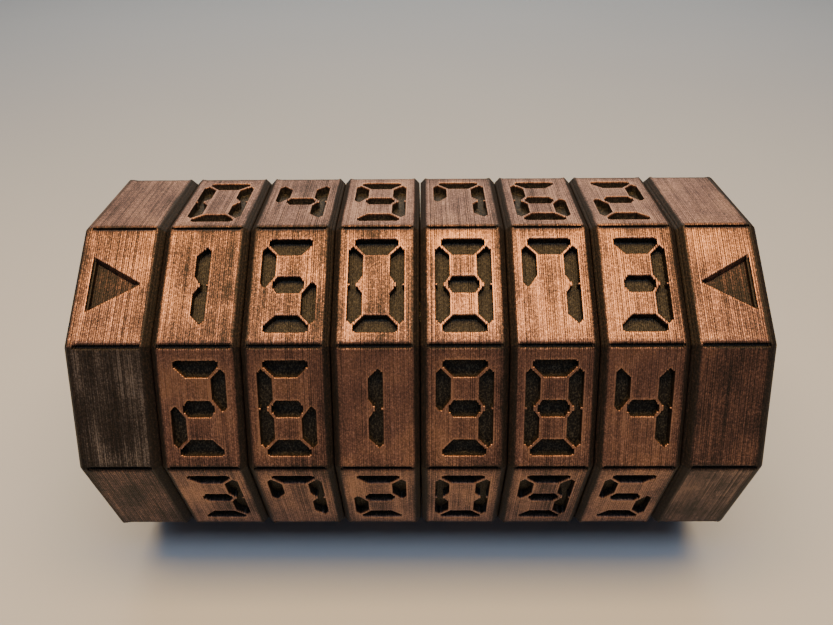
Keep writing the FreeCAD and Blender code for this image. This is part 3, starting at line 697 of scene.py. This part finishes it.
def end_cap(side):
    """Cap with an arrow on one flat; side is -1 for the left one and 1 for the right one."""
    node = "left_end_cap" if side < 0 else "right_end_cap"
    low, high = [corner.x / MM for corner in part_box(node)]
    outer = high if side > 0 else -low
    width = high - low
    wall, steps = CAP_CAVITIES[side]
    screw_circle = CAP_SCREW_CIRCLES[side]
    pilots = []
    for index in range(4):
        angle = ARROW_TURN + math.radians(45 + 90 * index)
        middle = (-screw_circle * math.sin(angle), screw_circle * math.cos(angle))
        pilots.append(circle(PILOT_RADIUS, PILOT_POINTS, middle))

    def holes(x):
        from_end = outer - abs(x)
        for depth, radius in steps:
            if from_end > depth - LAYER / 2:
                return [circle(radius, CAVITY_POINTS)]
        return pilots if from_end > wall - PILOT_DEPTH else []

    recesses = [[] for _ in range(FACE_COUNT)]
    recesses[0] = [arrow_outline(side, width / 2)]
    stop = CAP_FACE_CHAMFER + GROOVE_STOP
    if side < 0:
        edges = (EndEdge(CAP_END_CHAMFER), EndEdge(CAP_FACE_CHAMFER))
        grooves = (low + GROOVE_CAP_END, high - stop)
    else:
        edges = (EndEdge(CAP_FACE_CHAMFER), EndEdge(CAP_END_ROUND, is_round=True))
        grooves = (low + stop, high - GROOVE_CAP_END)
    return PrintedPrism(
        "arrow_cap_%s" % ("left" if side < 0 else "right"), low, high,
        edges=edges, grooves=grooves, recesses=recesses,
        depth=ARROW_DEPTH, slope=ARROW_SLOPE, holes=holes, turn=ARROW_TURN,
        seed=CAP_SEED + side, wear=CAP_WEAR[side], floor_sink=ARROW_FLOOR_SINK)


# ---------------------------------------------------------------- materials

class Shader:
    """Short way to wire a node material."""

    def __init__(self, name):
        self.material = bpy.data.materials.new(name)
        self.material.use_nodes = True
        self.tree = self.material.node_tree
        self.surface = self.tree.nodes["Principled BSDF"]
        self.coordinates = self.tree.nodes.new("ShaderNodeTexCoord").outputs["Object"]

    def plug(self, socket, value):
        if isinstance(value, bpy.types.NodeSocket):
            self.tree.links.new(value, socket)
        else:
            socket.default_value = value

    def mark(self, name):
        node = self.tree.nodes.new("ShaderNodeAttribute")
        node.attribute_name = name
        return node.outputs["Fac"]

    def scaled(self, x, y, z):
        node = self.tree.nodes.new("ShaderNodeMapping")
        self.plug(node.inputs["Vector"], self.coordinates)
        node.inputs["Scale"].default_value = (x, y, z)
        return node.outputs["Vector"]

    def noise(self, vector, scale=1.0, detail=2.0, roughness=0.5):
        node = self.tree.nodes.new("ShaderNodeTexNoise")
        self.plug(node.inputs["Vector"], vector)
        node.inputs["Scale"].default_value = scale
        node.inputs["Detail"].default_value = detail
        node.inputs["Roughness"].default_value = roughness
        return node.outputs["Fac"]

    def sum(self, first, second, operation="ADD", clamp=False):
        node = self.tree.nodes.new("ShaderNodeMath")
        node.operation = operation
        node.use_clamp = clamp
        self.plug(node.inputs[0], first)
        self.plug(node.inputs[1], second)
        return node.outputs[0]

    def total(self, *terms):
        result = terms[0]
        for term in terms[1:]:
            result = self.sum(result, term)
        return result

    def spread(self, noise, width):
        """A noise as an offset about zero."""
        return self.times(self.sum(noise, 0.5, "SUBTRACT"), width)

    def times(self, first, second):
        return self.sum(first, second, "MULTIPLY")

    def remap(self, value, low, high, new_low=0.0, new_high=1.0):
        node = self.tree.nodes.new("ShaderNodeMapRange")
        self.plug(node.inputs["Value"], value)
        ends = {"From Min": low, "From Max": high, "To Min": new_low, "To Max": new_high}
        for name, number in ends.items():
            node.inputs[name].default_value = number
        return node.outputs["Result"]

    def mix(self, share, first, second):
        node = self.tree.nodes.new("ShaderNodeMix")
        node.data_type = "RGBA"
        self.plug(node.inputs["Factor"], share)
        self.plug(node.inputs["A"], first)
        self.plug(node.inputs["B"], second)
        return node.outputs["Result"]

    def bump(self, height, distance, strength=1.0):
        node = self.tree.nodes.new("ShaderNodeBump")
        node.inputs["Distance"].default_value = distance
        node.inputs["Strength"].default_value = strength
        self.plug(node.inputs["Height"], height)
        self.plug(self.surface.inputs["Normal"], node.outputs["Normal"])

    def set(self, **inputs):
        for name, value in inputs.items():
            self.plug(self.surface.inputs[name.replace("_", " ")], value)


def rgb(red, green, blue):
    """Colour from its screen values, 0 to 255."""
    def linear(value):
        return ((value / 255 + 0.055) / 1.055) ** 2.4 if value > 10 else value / 255 / 12.92

    return linear(red), linear(green), linear(blue), 1.0


def rubbed_copper():
    """Black printed plastic whose crests and edges are rubbed with copper wax.

    The share of wax is a sum: noise, less what the valleys and recesses hide from the rag, less
    painted shade on the chamfers, along the decagon's corners and towards the chamfered ends of
    each flat.
    """
    shader = Shader("rubbed_copper")
    names = ("valley", "rim", "sink", "tone", "wear")
    valley, rim, sink, tone, wear = [shader.mark(name) for name in names]
    clouds = shader.noise(shader.scaled(120, 120, 120), detail=3, roughness=0.6)
    streaks = shader.noise(shader.scaled(1000 / LAYER, 80, 80), detail=1)
    bands = shader.noise(shader.scaled(600, 50, 50), detail=2)
    grain = shader.noise(shader.scaled(4200, 3200, 3200), detail=2, roughness=0.75)
    wax = shader.total(
        0.7,
        shader.spread(clouds, 1.3),
        shader.spread(streaks, 0.7),
        shader.times(shader.spread(bands, 1.0), shader.remap(wear, 0.75, 1.0, 0.1, 1.3)),
        shader.spread(grain, 1.4),
        shader.spread(tone, 0.22),
        shader.times(valley, -0.7),
        # painted shade: the chamfers, down in the gaps between rings, lose wax and go darker
        shader.times(shader.mark("beveled"), -0.55),
        shader.remap(wear, 0.0, 0.6, 0.0, -0.36),
        # painted shade: a darker band along the decagon's corners and grooves
        shader.times(shader.mark("corner"), -0.4),
        # painted shade: each flat darker towards its chamfered ends, beside the gaps between rings
        shader.times(shader.mark("side"), -0.35),
        shader.times(rim, 0.4),
    )
    wax = shader.sum(wax, shader.times(sink, 3.5), "SUBTRACT", clamp=True)
    worn = shader.remap(wear, 0.6, 1.0, 0.0, 0.9)
    hue = shader.mix(shader.remap(clouds, 0.35, 0.65), rgb(130, 95, 91), rgb(146, 108, 85))
    hue = shader.mix(shader.remap(grain, 0.48, 0.7), hue, rgb(180, 138, 118))
    hue = shader.mix(shader.times(rim, 0.6), hue, rgb(174, 132, 106))
    hue = shader.mix(worn, hue, rgb(150, 142, 136))
    dust = shader.times(shader.remap(grain, 0.47, 0.68), shader.remap(sink, 0.0, 1.0, 0.7, 1.0))
    speck = shader.mix(sink, rgb(58, 46, 40), rgb(72, 68, 58))
    plastic = shader.mix(dust, rgb(12, 11, 11), speck)
    brown = shader.mix(worn, rgb(76, 56, 52), rgb(58, 55, 55))
    dull = shader.mix(shader.remap(wax, 0.0, 0.4), plastic, brown)
    shader.set(Base_Color=shader.mix(shader.remap(wax, 0.35, 1.0), dull, hue),
               Metallic=shader.total(
                   shader.remap(wax, 0.0, 0.7, 0.0, 0.85), shader.times(dust, 0.1)),
               Roughness=shader.remap(wax, 0.0, 1.0, 0.58, 0.4),
               Coat_Weight=shader.times(wax, 0.2))
    shader.surface.inputs["Coat Roughness"].default_value = 0.36
    shader.surface.inputs["Specular IOR Level"].default_value = 0.25
    shader.bump(grain, 0.00005, 0.7)
    return shader.material


def printed_black():
    """Plain black plastic, with faint waves along X and a fine grain."""
    shader = Shader("printed_black")
    waves = shader.tree.nodes.new("ShaderNodeTexWave")
    waves.bands_direction = "X"
    shader.plug(waves.inputs["Vector"], shader.coordinates)
    waves.inputs["Scale"].default_value = 1000 / LAYER / 20  # each wave is 2 pi layers long
    grain = shader.noise(shader.scaled(3000, 3000, 3000), detail=3)
    height = shader.sum(waves.outputs["Fac"], shader.times(grain, 0.6))
    shader.set(Base_Color=shader.mix(grain, rgb(24, 23, 22), rgb(46, 44, 42)),
               Roughness=shader.remap(grain, 0.3, 0.7, 0.42, 0.62))
    shader.bump(height, 0.00004, 0.6)
    return shader.material


def brushed_steel(name, shade, roughness):
    shader = Shader(name)
    scratches = shader.noise(shader.scaled(400, 4000, 4000), detail=3)
    shader.surface.inputs["Metallic"].default_value = 1.0
    bright = rgb(shade + 25, shade + 23, shade + 20)
    shader.set(Base_Color=shader.mix(scratches, rgb(shade, shade, shade), bright),
               Roughness=shader.remap(scratches, 0.3, 0.7, roughness - 0.08, roughness + 0.12))
    shader.bump(scratches, 0.00001, 0.4)
    return shader.material


def plain_floor():
    shader = Shader("pale_floor")
    mottle = shader.noise(shader.scaled(6, 6, 6), detail=4)
    shader.set(Base_Color=shader.mix(mottle, rgb(176, 185, 196), rgb(183, 191, 202)), Roughness=0.8)
    return shader.material


# ---------------------------------------------------------------- the object

def build_pieces():
    copper = rubbed_copper()
    for index in range(RING_COUNT):
        mesh = code_ring(index).build()
        piece_from(mesh, "ring_%d" % (index + 1), "code_ring_%d" % (index + 1), copper)
    for side, body, node in ((-1, "base", "left_end_cap"), (1, "vault", "right_end_cap")):
        piece_from(end_cap(side).build(), body, node, copper)


def finish_cad_nodes():
    """Give every CAD node that still shows its own material."""
    black = printed_black()
    steel = {
        "spring_steel": brushed_steel("spring_steel", 170, 0.32),
        "screw_steel": brushed_steel("screw_steel", 120, 0.4),
    }
    slots = {subpart["node"]: subpart["material_slot"] for subpart in frame["record"]["subparts"]}
    for name, node in frame["nodes"].items():
        if node.hide_render:
            continue
        node.data.materials.clear()
        node.data.materials.append(steel.get(slots[name], black))


# ---------------------------------------------------------------- the setting

CAMERA_DISTANCE = 4.352  # from the axis, in corner radii
CAMERA_ELEVATION = math.radians(35.34)
CAMERA_SIDE = 0.55 * MM  # to the right of the object's middle
CAMERA_PITCH = math.radians(32.52)  # how far it looks down
CAMERA_YAW = math.radians(-0.680)
CAMERA_ROLL = math.radians(-0.593)
CAMERA_LENS = 31.58  # on a sensor 36 wide


def add_camera():
    data = bpy.data.cameras.new("camera")
    data.sensor_width = 36.0
    data.lens = CAMERA_LENS
    data.clip_start = 0.005
    camera = bpy.data.objects.new("camera", data)
    bpy.context.scene.collection.objects.link(camera)
    reach = CAMERA_DISTANCE * APOTHEM * MM / math.cos(HALF_STEP)
    level, rise = math.cos(CAMERA_ELEVATION), math.sin(CAMERA_ELEVATION)
    place = Vector((CAMERA_SIDE, -reach * level, reach * rise))
    run, drop = math.cos(CAMERA_PITCH), math.sin(CAMERA_PITCH)
    ahead = Vector((math.sin(CAMERA_YAW) * run, math.cos(CAMERA_YAW) * run, -drop))
    aim = ahead.to_track_quat("-Z", "Y").to_matrix().to_4x4()
    camera.matrix_world = Matrix.Translation(place) @ aim
    camera.matrix_world = camera.matrix_world @ Matrix.Rotation(CAMERA_ROLL, 4, "Z")
    bpy.context.scene.camera = camera


def add_floor():
    half = 3.0  # of its side, in metres
    mesh = bpy.data.meshes.new("floor")
    corners = [(-half, -half), (half, -half), (half, half), (-half, half)]
    mesh.from_pydata([(x, y, FLOOR_LEVEL * MM) for x, y in corners], [], [(0, 1, 2, 3)])
    mesh.materials.append(plain_floor())
    floor = bpy.data.objects.new("floor", mesh)
    bpy.context.scene.collection.objects.link(floor)


def add_softbox(name, bearing, elevation, distance, width, height, power, colour):
    """Light panel that faces the object; bearing 0 is in front of it and 90 at its right.

    Angles are in degrees and power is in watts.
    """
    data = bpy.data.lights.new(name, "AREA")
    data.shape = "RECTANGLE"
    data.size = width
    data.size_y = height
    data.energy = power
    data.color = colour
    light = bpy.data.objects.new(name, data)
    bpy.context.scene.collection.objects.link(light)
    a, e = math.radians(bearing), math.radians(elevation)
    away = Vector((math.sin(a) * math.cos(e), -math.cos(a) * math.cos(e), math.sin(e)))
    light.location = away * distance
    light.rotation_mode = "QUATERNION"
    light.rotation_quaternion = (-away).to_track_quat("-Z", "Y")


def add_lights():
    add_softbox("overhead", bearing=0, elevation=80, distance=0.34, width=0.42, height=0.13,
                power=2.5, colour=(1.0, 0.57, 0.18))
    add_softbox("front", bearing=0, elevation=62, distance=0.8, width=0.9, height=0.25,
                power=2.6, colour=(0.76, 0.86, 1.0))
    add_softbox("behind", bearing=180, elevation=38, distance=0.8, width=0.8, height=0.4,
                power=3.4, colour=(1.0, 0.91, 0.76))
    world = bpy.data.worlds.new("studio")
    world.use_nodes = True
    background = world.node_tree.nodes["Background"]
    background.inputs["Color"].default_value = rgb(206, 210, 222)
    background.inputs["Strength"].default_value = 0.16
    bpy.context.scene.world = world


build_pieces()
finish_cad_nodes()
add_camera()
add_floor()
add_lights()
